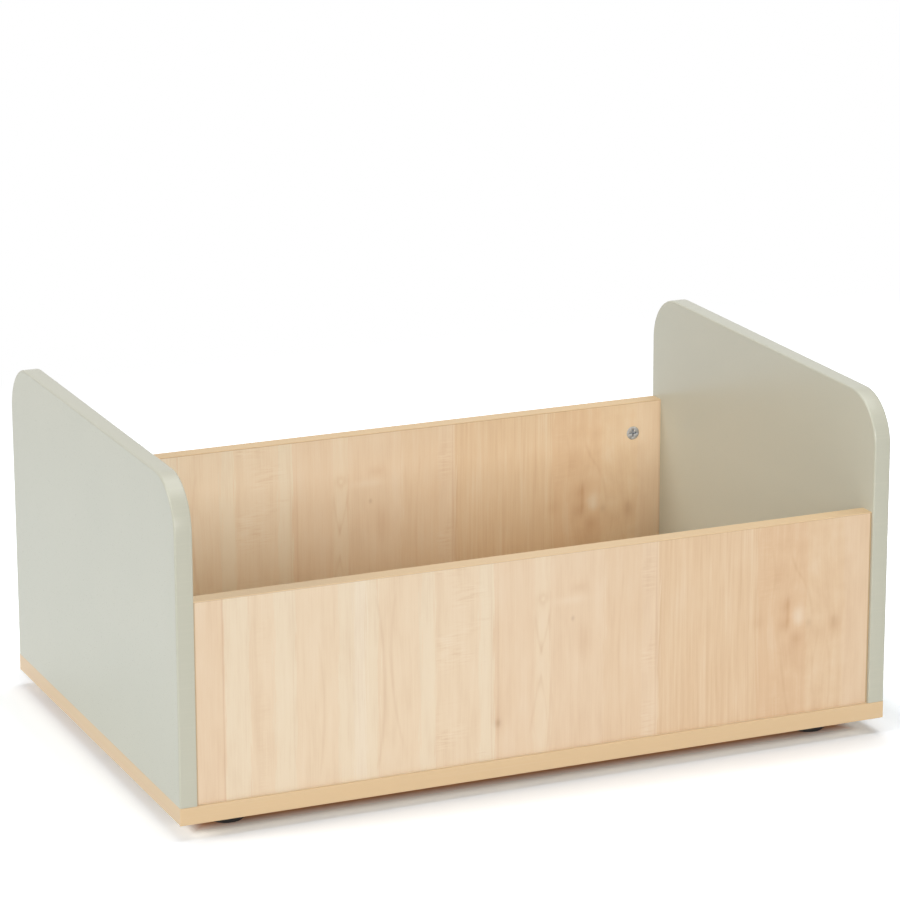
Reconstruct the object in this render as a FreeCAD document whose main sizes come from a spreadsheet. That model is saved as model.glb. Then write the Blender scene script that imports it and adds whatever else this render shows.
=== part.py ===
"""Picture book browser bin: a low open bin that stands on four glides.

Two end panels with rounded top corners stand on a base board. A front panel and a back panel
close the bay between them. Cam locks and dowels join the front and back panels to the end
panels, and screws hold all four panels on the base.

The origin is on the floor under the middle of the base. X runs along the bin, Y from the front
panel to the back panel, and Z up. All sizes are in millimetres.
"""
import FreeCAD, Part
import math
import os
import Sketcher
from FreeCAD import Placement, Rotation, Vector

SIZES = (
    ("bin_length", 760.0, "base, end to end"),
    ("bin_depth", 500.0, "base, front edge to back edge"),
    ("base_thickness", 18.0, "base board"),
    ("base_arris", 1.0, "rounding of the edges of the base edging"),
    ("end_thickness", 18.0, "end panels"),
    ("end_height", 320.0, "end panels, above the base"),
    ("end_corner_radius", 50.0, "top corners of the end panels, inside the edging"),
    ("end_arris", 1.9, "rounding of the edges of the end edging"),
    ("panel_thickness", 18.0, "front and back panels"),
    ("panel_height", 202.0, "front and back panels, above the base"),
    ("panel_setback", 3.5, "face of the front panel behind the edges of the end panels"),
    ("panel_edging_thickness", 0.8, "edging strips on the front and back panels"),
    ("panel_arris", 0.4, "rounding of the edges of the front and back edging"),
    ("edging_thickness", 2.0, "edging strips of the base and the end panels"),
    ("fit_clearance", 0.05, "radial play of every pin, screw and cam in its bore"),
    ("bore_end_gap", 0.5, "space between a pin's end and the bottom of its bore"),
    ("cam_diameter", 15.0, "cam lock"),
    ("cam_below_axis", 4.4, "cam lock beyond the axis of its bolt"),
    ("cam_end_distance", 34.0, "axis of the cam from the end of its panel"),
    ("cam_edge_distance", 35.0, "axis of the cam from the top or bottom of its panel"),
    ("cam_wall", 3.45, "wall of the locked cam, where the bolt's head pulls on it"),
    ("cam_rise", 2.0, "how much thinner that wall is when the cam is open"),
    ("cam_slot_play", 0.1, "play of the bolt's neck in the cam's slot, each side"),
    ("cam_cavity_play", 0.2, "play of the bolt's head in the cam's hollow, each side"),
    ("cam_slot_overrun", 45.0, "angle of the cam's slot past the locked bolt, degrees"),
    ("cam_turn", 180.0, "angle from locked to open, degrees"),
    ("driver_width", 6.4, "cross recess of the cam, tip to tip"),
    ("driver_blade", 1.3, "width of one arm of the cross recess"),
    ("driver_depth", 3.2, "depth of the cross recess"),
    ("cam_mark_depth", 0.5, "arrow notch that shows where the cam points"),
    ("cam_mark_radius", 1.6, "middle of the arrow notch to its points"),
    ("cam_mark_place", 5.3, "middle of the arrow notch from the axis of the cam"),
    ("bolt_thread_diameter", 6.0, "cam bolt in the end panel"),
    ("bolt_hole_depth", 12.0, "bore for the cam bolt in the end panel"),
    ("bolt_shaft_diameter", 7.0, "cam bolt in the panel's end"),
    ("bolt_bore_diameter", 8.0, "bore in the panel's end for the cam bolt"),
    ("bolt_neck_diameter", 3.6, "neck of the cam bolt, in the slot of the cam"),
    ("bolt_head_diameter", 6.6, "ball head of the cam bolt"),
    ("dowel_diameter", 8.0, "dowel"),
    ("dowel_length", 30.0, "dowel"),
    ("dowel_in_end", 11.0, "dowel in the end panel"),
    ("dowel_chamfer", 1.0, "dowel ends"),
    ("screw_head_diameter", 10.0, "countersunk base screw"),
    ("screw_sink_angle", 90.0, "countersink of the base screw, degrees"),
    ("screw_shank_diameter", 7.0, "base screw, in the base board"),
    ("screw_thread_diameter", 5.0, "base screw, in the edge of a panel"),
    ("screw_length", 50.0, "base screw"),
    ("screw_point", 4.0, "tapered end of the base screw"),
    ("screw_tip_diameter", 1.7, "end of the base screw"),
    ("screw_socket", 4.0, "hexagon socket of the base screw, across flats"),
    ("screw_socket_depth", 2.5, "hexagon socket of the base screw"),
    ("end_screw_inset", 60.0, "outer base screw of an end panel from the front or back of the base"),
    ("panel_screw_inset", 140.0, "outer base screw of a long panel from the end of the base"),
    ("glide_height", 16.0, "glides"),
    ("glide_top_diameter", 40.0, "glides, under the base"),
    ("glide_foot_diameter", 36.0, "glides, on the floor"),
    ("glide_flange", 4.0, "straight upper rim of the glides"),
    ("glide_edge_radius", 1.5, "rounding of the glides at the floor"),
    ("glide_inset_length", 63.0, "axis of a glide from the end of the base"),
    ("glide_inset_depth", 47.0, "axis of a glide from the front or back of the base"),
    ("glide_recess_diameter", 12.0, "hollow under the glide for its screw"),
    ("glide_recess_depth", 9.0, "hollow under the glide for its screw"),
    ("glide_screw_diameter", 4.5, "glide screw"),
    ("glide_screw_grip", 13.0, "glide screw in the base board"),
    ("glide_screw_head_diameter", 8.5, "glide screw"),
    ("glide_screw_head_height", 3.0, "glide screw"),
)

# Places and sizes worked out from the sheet, as expressions of it.
BASE_TOP = "(sizes.glide_height + sizes.base_thickness)"
INNER_LENGTH = "(sizes.bin_length - 2 * sizes.end_thickness)"
PANEL_MIDDLE_Y = "(sizes.bin_depth / 2 - sizes.panel_setback - sizes.panel_thickness / 2)"
CAM_X = "(sizes.bin_length / 2 - sizes.end_thickness - sizes.cam_end_distance)"
CAM_LOW = "(sizes.cam_edge_distance)"
CAM_HIGH = "(sizes.panel_height - sizes.cam_edge_distance)"
CAM_HEIGHT = "(sizes.panel_thickness / 2 + sizes.cam_below_axis)"
CAM_RADIUS = "(sizes.cam_diameter / 2 - sizes.fit_clearance)"
SLOT_HEIGHT = "(sizes.bolt_neck_diameter + 2 * sizes.cam_slot_play)"
HEAD_RADIUS = "(sizes.bolt_head_diameter / 2)"
# The head sits in the slot's inner edges: its centre lies this far from the cam's axis.
HEAD_OFFSET = (
    f"({CAM_RADIUS} - sizes.cam_wall - sizes.fit_clearance"
    f" - sqrt({HEAD_RADIUS} ^ 2 - ({SLOT_HEIGHT} / 2) ^ 2))"
)
DOWEL_MIDDLE = "(sizes.panel_height / 2)"
SCREW_HEAD_DEPTH = (
    "((sizes.screw_head_diameter - sizes.screw_shank_diameter) / 2 / tan(sizes.screw_sink_angle / 2))"
)
SCREW_BORE = "(sizes.screw_thread_diameter + 2 * sizes.fit_clearance)"
SCREW_BORE_DEPTH = "(sizes.screw_length - sizes.base_thickness + sizes.bore_end_gap)"
END_MIDDLE_X = "(sizes.bin_length / 2 - sizes.end_thickness / 2)"
END_SCREW_Y = "(sizes.bin_depth / 2 - sizes.end_screw_inset)"
END_SCREW_ROW = (f"-{END_SCREW_Y}", "0", END_SCREW_Y)
PANEL_SCREW_X = "(sizes.bin_length / 2 - sizes.panel_screw_inset)"
PANEL_SCREW_ROW = (f"-{PANEL_SCREW_X}", "0", PANEL_SCREW_X)
GLIDE_X = "(sizes.bin_length / 2 - sizes.glide_inset_length)"
GLIDE_Y = "(sizes.bin_depth / 2 - sizes.glide_inset_depth)"
# Each side's name, with the sign that takes a place to that side.
ENDS = (("left", "-"), ("right", ""))
ROWS = (("front", "-"), ("back", ""))
LEVELS = (("lower", CAM_LOW), ("upper", CAM_HIGH))

TOWARDS_X = Rotation(Vector(0, 1, 0), 90)
NO_TURN = Rotation()
HALF_TURN = Rotation(Vector(0, 0, 1), 180)
# Places closer than this, in millimetres, are the same place.
SAME_PLACE = 1e-6

doc = FreeCAD.newDocument("browser_bin")
sheet = doc.addObject("Spreadsheet::Sheet", "sizes")
for row, (alias, size, meaning) in enumerate(SIZES, start=1):
    sheet.set(f"A{row}", alias)
    sheet.set(f"B{row}", str(size))
    sheet.set(f"C{row}", meaning)
    sheet.setAlias(f"B{row}", alias)
doc.recompute()

PIECES = []


def number(expression):
    """The present value of an expression of the sheet."""
    return float(sheet.evalExpression(expression))


def bind(item, **expressions):
    """Tie properties of an object to expressions of the sheet."""
    for name, expression in expressions.items():
        item.setExpression(name, expression)


def shift(item, x="0", y="0", z="0", turn=None):
    """Place an object, with each coordinate tied to the sheet."""
    if turn is not None:
        item.Placement = Placement(Vector(), turn)
    for axis, expression in zip("xyz", (x, y, z)):
        item.setExpression(f"Placement.Base.{axis}", expression)


def keep(item, label):
    """List an object as one piece of the bin, under the name of its file."""
    item.Label = label
    PIECES.append(item)
    return item


# Sketches and the features made from them.

def new_body(name):
    return doc.addObject("PartDesign::Body", f"{name}_body")


def new_sketch(body, name, plane, offset="0"):
    """A sketch on one of the body's origin planes, moved along the plane's normal by offset."""
    sketch = body.newObject("Sketcher::SketchObject", name)
    support = next(item for item in body.Origin.OriginFeatures if item.Role == plane)
    sketch.AttachmentSupport = [(support, "")]
    sketch.MapMode = "FlatFace"
    sketch.setExpression("AttachmentOffset.Base.z", offset)
    return sketch


def dimension(sketch, name, expression, *constraint):
    """A named dimension whose value comes from the sheet."""
    index = sketch.addConstraint(Sketcher.Constraint(*constraint, number(expression)))
    sketch.renameConstraint(index, name)
    sketch.setExpression(f"Constraints.{name}", expression)


def draw_outline(sketch, corners):
    """A closed outline of straight lines, each corner given by two expressions."""
    spots = [Vector(number(u), number(v), 0) for u, v in corners]
    lines = range(len(spots))
    for line in lines:
        sketch.addGeometry(Part.LineSegment(spots[line], spots[(line + 1) % len(spots)]))
    tie_corners(sketch, corners)


def tie_corners(sketch, corners):
    """Close an outline, and hold each of its corners by two distances from the origin."""
    for line in range(len(corners)):
        after = (line + 1) % len(corners)
        sketch.addConstraint(Sketcher.Constraint("Coincident", line, 2, after, 1))
    for line, (u, v) in enumerate(corners):
        dimension(sketch, f"across{line}", u, "DistanceX", -1, 1, line, 1)
        dimension(sketch, f"up{line}", v, "DistanceY", -1, 1, line, 1)


def draw_box(sketch, left, right, bottom, top):
    draw_outline(sketch, ((left, bottom), (right, bottom), (right, top), (left, top)))


def draw_circles(sketch, diameter, centres):
    """Circles of one diameter, each centre given by two expressions."""
    for circle, (u, v) in enumerate(centres):
        centre = Vector(number(u), number(v), 0)
        sketch.addGeometry(Part.Circle(centre, Vector(0, 0, 1), number(diameter) / 2))
        dimension(sketch, f"wide{circle}", diameter, "Diameter", circle)
        dimension(sketch, f"across{circle}", u, "DistanceX", -1, 1, circle, 3)
        dimension(sketch, f"up{circle}", v, "DistanceY", -1, 1, circle, 3)


def pad(body, sketch, length, midplane=False, backwards=False):
    feature = body.newObject("PartDesign::Pad", f"{sketch.Name}_pad")
    feature.Profile = sketch
    feature.Midplane = midplane
    feature.Reversed = backwards
    bind(feature, Length=length)
    doc.recompute()
    return feature


def pocket(body, sketch, depth, backwards=False):
    """Cut a sketch into the body, and make sure that it meets the solid."""
    before = body.Shape.Volume
    feature = body.newObject("PartDesign::Pocket", f"{sketch.Name}_cut")
    feature.Profile = sketch
    feature.Reversed = backwards
    bind(feature, Length=depth)
    doc.recompute()
    if not body.Shape.Volume < before:
        raise RuntimeError(f"{feature.Name} cuts nothing")
    return feature


def drill(body, name, plane, offset, diameter, depth, centres, backwards=False):
    """Blind round bores of one size, with their mouths on one plane."""
    sketch = new_sketch(body, name, plane, offset)
    draw_circles(sketch, diameter, centres)
    return pocket(body, sketch, depth, backwards)


def mirror(body, name, plane, features):
    """Repeat features on the other side of one of the body's origin planes."""
    feature = body.newObject("PartDesign::Mirrored", name)
    feature.Originals = features
    support = next(item for item in body.Origin.OriginFeatures if item.Role == plane)
    feature.MirrorPlane = (support, [""])
    body.Tip = feature
    doc.recompute()
    return feature


def round_edges(body, name, radius, wanted):
    """Round the edges of the body for which wanted(edge) is true."""
    base = body.Tip
    edges = [f"Edge{i}" for i, edge in enumerate(base.Shape.Edges, start=1) if wanted(edge)]
    feature = body.newObject("PartDesign::Fillet", name)
    feature.Base = (base, edges)
    bind(feature, Radius=radius)
    doc.recompute()
    return feature


# Solids for the fasteners.

def cylinder(name, radius, height, z="0", x="0", turn=None):
    item = doc.addObject("Part::Cylinder", name)
    bind(item, Radius=radius, Height=height)
    shift(item, x=x, z=z, turn=turn)
    return item


def cone(name, low_radius, high_radius, height, z="0"):
    item = doc.addObject("Part::Cone", name)
    bind(item, Radius1=low_radius, Radius2=high_radius, Height=height)
    shift(item, z=z)
    return item


def join(name, *shapes):
    item = doc.addObject("Part::MultiFuse", name)
    item.Shapes = list(shapes)
    item.Refine = True
    return item


def cut(name, base, tool):
    item = doc.addObject("Part::Cut", name)
    item.Base = base
    item.Tool = tool
    return item


def cross_arm(name, width, blade, depth, top, quarter_turn):
    """One arm of a cross recess, centred on the Z axis, with its mouth at the height top."""
    item = doc.addObject("Part::Box", name)
    length, breadth = (blade, width) if quarter_turn else (width, blade)
    bind(item, Length=length, Width=breadth, Height=depth)
    shift(item, x=f"-({length}) / 2", y=f"-({breadth}) / 2", z=f"{top} - {depth}")
    return item


# The boards and their edging.

def at_both_sides(make_piece, first, second, x="0", y="0", z="0"):
    """The same piece twice: as made, and turned half round to the opposite side."""
    for name, turn, sign in ((first, NO_TURN, ""), (second, HALF_TURN, "-")):
        body = make_piece(name)
        shift(body, x=f"{sign}({x})", y=f"{sign}({y})", z=z, turn=turn)
        keep(body, name)


def make_base_board():
    body = new_body("base_board")
    outline = new_sketch(body, "base_outline", "XY_Plane")
    half_length = "sizes.bin_length / 2 - sizes.edging_thickness"
    half_depth = "sizes.bin_depth / 2 - sizes.edging_thickness"
    draw_box(outline, f"-({half_length})", half_length, f"-({half_depth})", half_depth)
    pad(body, outline, "sizes.base_thickness")
    spots = [(f"{sign}{END_MIDDLE_X}", y) for _, sign in ENDS for y in END_SCREW_ROW]
    spots += [(x, f"{sign}{PANEL_MIDDLE_Y}") for _, sign in ROWS for x in PANEL_SCREW_ROW]
    countersink(body, "base_screw_bores", spots)
    glide_bore = "sizes.glide_screw_diameter + 2 * sizes.fit_clearance"
    glide_bore_depth = "sizes.glide_screw_grip + sizes.bore_end_gap"
    corners = [(f"{end}{GLIDE_X}", f"{row}{GLIDE_Y}") for _, end in ENDS for _, row in ROWS]
    drill(body, "base_glide_bores", "XY_Plane", "0", glide_bore, glide_bore_depth, corners, True)
    shift(body, z="sizes.glide_height")
    keep(body, "base_board")


def countersink(body, name, spots):
    """Bores up through the base for its screws, with countersunk mouths on the underside."""
    sketch = new_sketch(body, name, "XY_Plane")
    bore = "sizes.screw_shank_diameter + 2 * sizes.fit_clearance"
    draw_circles(sketch, bore, spots)
    before = body.Shape.Volume
    hole = body.newObject("PartDesign::Hole", f"{name}_holes")
    hole.Profile = sketch
    hole.Reversed = True
    doc.recompute()
    hole.DepthType = "ThroughAll"
    hole.HoleCutType = "Countersink"
    hole.HoleCutCustomValues = True
    bind(hole, Diameter=bore, HoleCutCountersinkAngle="sizes.screw_sink_angle",
         HoleCutDiameter="sizes.screw_head_diameter + 2 * sizes.fit_clearance")
    doc.recompute()
    if not body.Shape.Volume < before:
        raise RuntimeError(f"{name} cuts nothing")


def make_long_base_edging(name):
    """Edging strip along the back of the base; it covers the ends of the short strips."""
    body = new_body(name)
    outline = new_sketch(body, f"{name}_outline", "XY_Plane")
    half_length = "sizes.bin_length / 2"
    draw_box(outline, f"-{half_length}", half_length, "-sizes.edging_thickness", "0")
    pad(body, outline, "sizes.base_thickness")
    round_edges(body, f"{name}_arris", "sizes.base_arris", is_outer_back_edge)
    return body


def make_short_base_edging(name):
    """Edging strip along the right end of the base, between the long strips."""
    body = new_body(name)
    outline = new_sketch(body, f"{name}_outline", "XY_Plane")
    half_depth = "sizes.bin_depth / 2 - sizes.edging_thickness"
    draw_box(outline, "-sizes.edging_thickness", "0", f"-({half_depth})", half_depth)
    pad(body, outline, "sizes.base_thickness")
    round_edges(body, f"{name}_arris", "sizes.base_arris", is_outer_long_edge)
    return body


def is_outer_back_edge(edge):
    """An edge of the strip's outer face, in the plane y = 0."""
    return all(abs(vertex.Y) < SAME_PLACE for vertex in edge.Vertexes)


def is_outer_long_edge(edge):
    """A lengthwise edge of the strip's outer face, in the plane x = 0."""
    first, last = edge.Vertexes[0], edge.Vertexes[-1]
    return abs(first.X) + abs(last.X) < SAME_PLACE and abs(first.Y - last.Y) > edge.Length / 2


# The two lines of an end panel's outline that are arcs.
CORNER_ARCS = (2, 4)


def draw_end_outline(sketch, inset):
    """Upright outline of an end panel seen along X, inset from the front, the top and the back."""
    side = f"(sizes.bin_depth / 2 - {inset})"
    top = f"(sizes.end_height - {inset})"
    radius = f"(sizes.end_corner_radius + sizes.edging_thickness - {inset})"
    flat = f"({side} - {radius})"
    shoulder = f"({top} - {radius})"
    corners = ((f"-{side}", "0"), (side, "0"), (side, shoulder), (flat, top),
               (f"-{flat}", top), (f"-{side}", shoulder))
    spots = [Vector(number(u), number(v), 0) for u, v in corners]
    bow = number(radius) * (1 - math.sqrt(0.5))
    for line, spot in enumerate(spots):
        end = spots[(line + 1) % len(spots)]
        if line in CORNER_ARCS:
            outward = math.copysign(number(side) - bow, spot.x)
            middle = Vector(outward, number(top) - bow, 0)
            sketch.addGeometry(Part.Arc(spot, middle, end))
        else:
            sketch.addGeometry(Part.LineSegment(spot, end))
    tie_corners(sketch, corners)
    for arc in CORNER_ARCS:
        dimension(sketch, f"round{arc}", radius, "Radius", arc)


def make_end_panel(name):
    """Right end panel: its inner face is in the plane x = 0 of the body."""
    body = new_body(name)
    outline = new_sketch(body, f"{name}_outline", "YZ_Plane")
    draw_end_outline(outline, "sizes.edging_thickness")
    pad(body, outline, "sizes.end_thickness")
    rows = [f"{sign}{PANEL_MIDDLE_Y}" for _, sign in ROWS]
    bolts = [(y, z) for y in rows for _, z in LEVELS]
    bolt_bore = "sizes.bolt_thread_diameter + 2 * sizes.fit_clearance"
    drill(body, f"{name}_bolt_bores", "YZ_Plane", "0", bolt_bore, "sizes.bolt_hole_depth", bolts, True)
    dowels = [(y, DOWEL_MIDDLE) for y in rows]
    dowel_depth = "sizes.dowel_in_end + sizes.bore_end_gap"
    drill(body, f"{name}_dowel_bores", "YZ_Plane", "0", "sizes.dowel_diameter", dowel_depth, dowels,
          True)
    screws = [("sizes.end_thickness / 2", y) for y in END_SCREW_ROW]
    drill(body, f"{name}_screw_bores", "XY_Plane", "0", SCREW_BORE, SCREW_BORE_DEPTH, screws, True)
    return body


def make_end_edging(name):
    """Edging of the right end panel: one strip up the front, over the top and down the back."""
    body = new_body(name)
    outline = new_sketch(body, f"{name}_outline", "YZ_Plane")
    draw_end_outline(outline, "0")
    pad(body, outline, "sizes.end_thickness")
    round_edges(body, f"{name}_arris", "sizes.end_arris", is_end_outline)
    core = new_sketch(body, f"{name}_core", "YZ_Plane")
    draw_end_outline(core, "sizes.edging_thickness")
    pocket(body, core, "sizes.end_thickness", True)
    return body


def is_end_outline(edge):
    """An edge that runs round either face of the end panel, but not along the base."""
    first, last = edge.Vertexes[0], edge.Vertexes[-1]
    return abs(first.X - last.X) < SAME_PLACE and first.Z + last.Z > SAME_PLACE


def make_long_panel(name):
    """Back panel: its inner face looks towards -Y, and its middle plane is y = 0 of the body."""
    body = new_body(name)
    outline = new_sketch(body, f"{name}_outline", "XZ_Plane")
    half_length = f"{INNER_LENGTH} / 2"
    height = "sizes.panel_height - sizes.panel_edging_thickness"
    draw_box(outline, f"-{half_length}", half_length, "0", height)
    pad(body, outline, "sizes.panel_thickness", midplane=True)
    cam_spots = [(CAM_X, z) for _, z in LEVELS]
    cam_depth = f"{CAM_HEIGHT} + sizes.bore_end_gap"
    face = "sizes.panel_thickness / 2"
    cams = drill(body, f"{name}_cam_bores", "XZ_Plane", face, "sizes.cam_diameter", cam_depth, cam_spots)
    bolts = [("0", z) for _, z in LEVELS]
    bolt_bores = drill(body, f"{name}_bolt_bores", "YZ_Plane", half_length,
                       "sizes.bolt_bore_diameter", "sizes.cam_end_distance", bolts)
    dowel_depth = "sizes.dowel_length - sizes.dowel_in_end + sizes.bore_end_gap"
    dowel_bores = drill(body, f"{name}_dowel_bores", "YZ_Plane", half_length,
                        "sizes.dowel_diameter", dowel_depth, [("0", DOWEL_MIDDLE)])
    mirror(body, f"{name}_other_end", "YZ_Plane", [cams, bolt_bores, dowel_bores])
    screws = [(x, "0") for x in PANEL_SCREW_ROW]
    drill(body, f"{name}_screw_bores", "XY_Plane", "0", SCREW_BORE, SCREW_BORE_DEPTH, screws, True)
    return body


def make_panel_edging(name):
    """Edging strip on top of the back panel, rounded along both upper edges."""
    body = new_body(name)
    outline = new_sketch(body, f"{name}_outline", "YZ_Plane")
    half_thickness = "sizes.panel_thickness / 2"
    draw_box(outline, f"-{half_thickness}", half_thickness, "0", "sizes.panel_edging_thickness")
    pad(body, outline, INNER_LENGTH, midplane=True)
    round_edges(body, f"{name}_arris", "sizes.panel_arris", is_upper_long_edge)
    return body


def is_upper_long_edge(edge):
    first, last = edge.Vertexes[0], edge.Vertexes[-1]
    return abs(first.X - last.X) > SAME_PLACE and first.Z > SAME_PLACE


# Fasteners.

def make_cam(name):
    """Cam lock. Its face is at z = 0, its bolt comes from +X, and it is locked.

    The cavity is off the axis, so the wall that the bolt's head pulls on gets thinner as the
    cam turns, and the head comes free. At the open end of the slot the head passes a window.
    """
    radius, height = CAM_RADIUS, CAM_HEIGHT
    bolt_level = "-sizes.panel_thickness / 2"
    cavity_radius = f"({radius} - sizes.cam_wall + sizes.cam_rise / 2)"
    cavity_height = "(sizes.bolt_head_diameter + 2 * sizes.cam_cavity_play)"
    blank = cylinder(f"{name}_blank", radius, height, z=f"-{height}")
    cavity = cylinder(f"{name}_cavity", cavity_radius, cavity_height, x="-sizes.cam_rise / 2",
                      z=f"{bolt_level} - {cavity_height} / 2")
    slot_start = Rotation(Vector(0, 0, 1), -number("sizes.cam_turn"))
    slot = cylinder(f"{name}_slot", "sizes.cam_diameter", SLOT_HEIGHT,
                    z=f"{bolt_level} - {SLOT_HEIGHT} / 2", turn=slot_start)
    bind(slot, Angle="sizes.cam_turn + sizes.cam_slot_overrun")
    window_turn = Rotation(Vector(0, 0, 1), -number("sizes.cam_turn")) * TOWARDS_X
    window = cylinder(f"{name}_window", f"{HEAD_RADIUS} + sizes.cam_slot_play",
                      "sizes.cam_diameter", z=bolt_level, turn=window_turn)
    cross = [
        cross_arm(f"{name}_arm_{arm}", "sizes.driver_width", "sizes.driver_blade",
                  "sizes.driver_depth", "0", quarter_turn)
        for arm, quarter_turn in (("long", False), ("across", True))
    ]
    mark = doc.addObject("Part::Prism", f"{name}_mark")
    mark.Polygon = 3
    bind(mark, Circumradius="sizes.cam_mark_radius", Height="sizes.cam_mark_depth")
    shift(mark, x="sizes.cam_mark_place", z="-sizes.cam_mark_depth")
    hollow = join(f"{name}_hollow", cavity, slot, window, mark, *cross)
    return cut(f"{name}_cam", blank, hollow)


def make_bolt(name):
    """Cam bolt along X: the end panel's face is at x = 0, and the thread is at negative x."""
    thread_length = "(sizes.bolt_hole_depth - sizes.bore_end_gap)"
    shaft_end = f"(sizes.cam_end_distance - sizes.cam_diameter / 2 - sizes.bore_end_gap)"
    head_at = f"(sizes.cam_end_distance - {HEAD_OFFSET})"
    thread = cylinder(f"{name}_thread", "sizes.bolt_thread_diameter / 2", thread_length,
                      x=f"-{thread_length}", turn=TOWARDS_X)
    shaft = cylinder(f"{name}_shaft", "sizes.bolt_shaft_diameter / 2", shaft_end, turn=TOWARDS_X)
    neck = cylinder(f"{name}_neck", "sizes.bolt_neck_diameter / 2", head_at, turn=TOWARDS_X)
    head = doc.addObject("Part::Sphere", f"{name}_head")
    bind(head, Radius=HEAD_RADIUS)
    shift(head, x=head_at)
    return join(f"{name}_bolt", thread, shaft, neck, head)


def make_dowel(name):
    """Beech dowel along Z, with its lower end at z = 0."""
    radius = "(sizes.dowel_diameter / 2 - sizes.fit_clearance)"
    tip = f"({radius} - sizes.dowel_chamfer)"
    rod = cylinder(f"{name}_rod", radius, "sizes.dowel_length - 2 * sizes.dowel_chamfer",
                   z="sizes.dowel_chamfer")
    low_tip = cone(f"{name}_low_tip", tip, radius, "sizes.dowel_chamfer")
    high_tip = cone(f"{name}_high_tip", radius, tip, "sizes.dowel_chamfer",
                    z="sizes.dowel_length - sizes.dowel_chamfer")
    return join(f"{name}_dowel", rod, low_tip, high_tip)


def make_base_screw(name):
    """Connecting screw, pointing up, with its head in the underside of the base at z = 0."""
    head = cone(f"{name}_head", "sizes.screw_head_diameter / 2", "sizes.screw_shank_diameter / 2",
                SCREW_HEAD_DEPTH)
    shank = cylinder(f"{name}_shank", "sizes.screw_shank_diameter / 2", "sizes.base_thickness")
    thread = cylinder(f"{name}_thread", "sizes.screw_thread_diameter / 2",
                      "sizes.screw_length - sizes.screw_point")
    point = cone(f"{name}_point", "sizes.screw_thread_diameter / 2", "sizes.screw_tip_diameter / 2",
                 "sizes.screw_point", z="sizes.screw_length - sizes.screw_point")
    socket = doc.addObject("Part::Prism", f"{name}_socket")
    socket.Polygon = 6
    bind(socket, Circumradius="sizes.screw_socket / sqrt(3)", Height="sizes.screw_socket_depth")
    return cut(f"{name}_screw", join(f"{name}_turned", head, shank, thread, point), socket)


def make_glide(name):
    """Round plastic glide, with its foot on the floor and a hollow for its screw."""
    body = new_body(name)
    profile = new_sketch(body, f"{name}_profile", "XZ_Plane")
    bore = "sizes.glide_screw_diameter / 2 + sizes.fit_clearance"
    recess = "sizes.glide_recess_diameter / 2"
    rim = "sizes.glide_top_diameter / 2"
    foot = "sizes.glide_foot_diameter / 2"
    draw_outline(profile, (
        (recess, "0"),
        (foot, "0"),
        (rim, "sizes.glide_height - sizes.glide_flange"),
        (rim, "sizes.glide_height"),
        (bore, "sizes.glide_height"),
        (bore, "sizes.glide_recess_depth"),
        (recess, "sizes.glide_recess_depth"),
    ))
    turned = body.newObject("PartDesign::Revolution", f"{name}_turned")
    turned.Profile = profile
    turned.ReferenceAxis = (profile, ["V_Axis"])
    turned.Angle = 360
    doc.recompute()
    round_edges(body, f"{name}_foot_edge", "sizes.glide_edge_radius", is_foot_edge)
    return body


def is_foot_edge(edge):
    """The outer edge of the glide's foot, at z = 0."""
    radius = number("sizes.glide_foot_diameter / 2")
    return all(abs(v.Z) < SAME_PLACE and abs(v.Point.Length - radius) < SAME_PLACE for v in edge.Vertexes)


def make_glide_screw(name):
    """Pan head screw of a glide, pointing up, with its head's seat at z = 0."""
    head_height = "sizes.glide_screw_head_height"
    shank_length = "(sizes.glide_height - sizes.glide_recess_depth + sizes.glide_screw_grip)"
    head = cylinder(f"{name}_head", "sizes.glide_screw_head_diameter / 2", head_height,
                    z=f"-{head_height}")
    shank = cylinder(f"{name}_shank", "sizes.glide_screw_diameter / 2", shank_length)
    cross = [
        cross_arm(f"{name}_arm_{arm}", "sizes.glide_screw_diameter", "sizes.driver_blade",
                  f"({head_height} / 2)", f"-{head_height} / 2", quarter_turn)
        for arm, quarter_turn in (("long", False), ("across", True))
    ]
    return cut(f"{name}_screw", join(f"{name}_turned", head, shank), join(f"{name}_cross", *cross))


# The assembly.

def assemble_boards():
    make_base_board()
    at_both_sides(make_long_base_edging, "base_edging_back", "base_edging_front",
                  y="sizes.bin_depth / 2", z="sizes.glide_height")
    at_both_sides(make_short_base_edging, "base_edging_right", "base_edging_left",
                  x="sizes.bin_length / 2", z="sizes.glide_height")
    end_face = "sizes.bin_length / 2 - sizes.end_thickness"
    at_both_sides(make_end_panel, "right_end_panel", "left_end_panel", x=end_face, z=BASE_TOP)
    at_both_sides(make_end_edging, "right_end_edging", "left_end_edging", x=end_face, z=BASE_TOP)
    at_both_sides(make_long_panel, "back_panel", "front_panel", y=PANEL_MIDDLE_Y, z=BASE_TOP)
    panel_edge = f"{BASE_TOP} + sizes.panel_height - sizes.panel_edging_thickness"
    at_both_sides(make_panel_edging, "back_panel_edging", "front_panel_edging",
                  y=PANEL_MIDDLE_Y, z=panel_edge)


def cam_turn(row, end):
    """The turn that faces a cam to the inside of the bin, with its bolt towards its own end."""
    outward = Vector(-1 if end == "left" else 1, 0, 0)
    face = Vector(0, 1 if row == "front" else -1, 0)
    return Rotation(outward, face.cross(outward), face, "ZXY")


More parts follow.
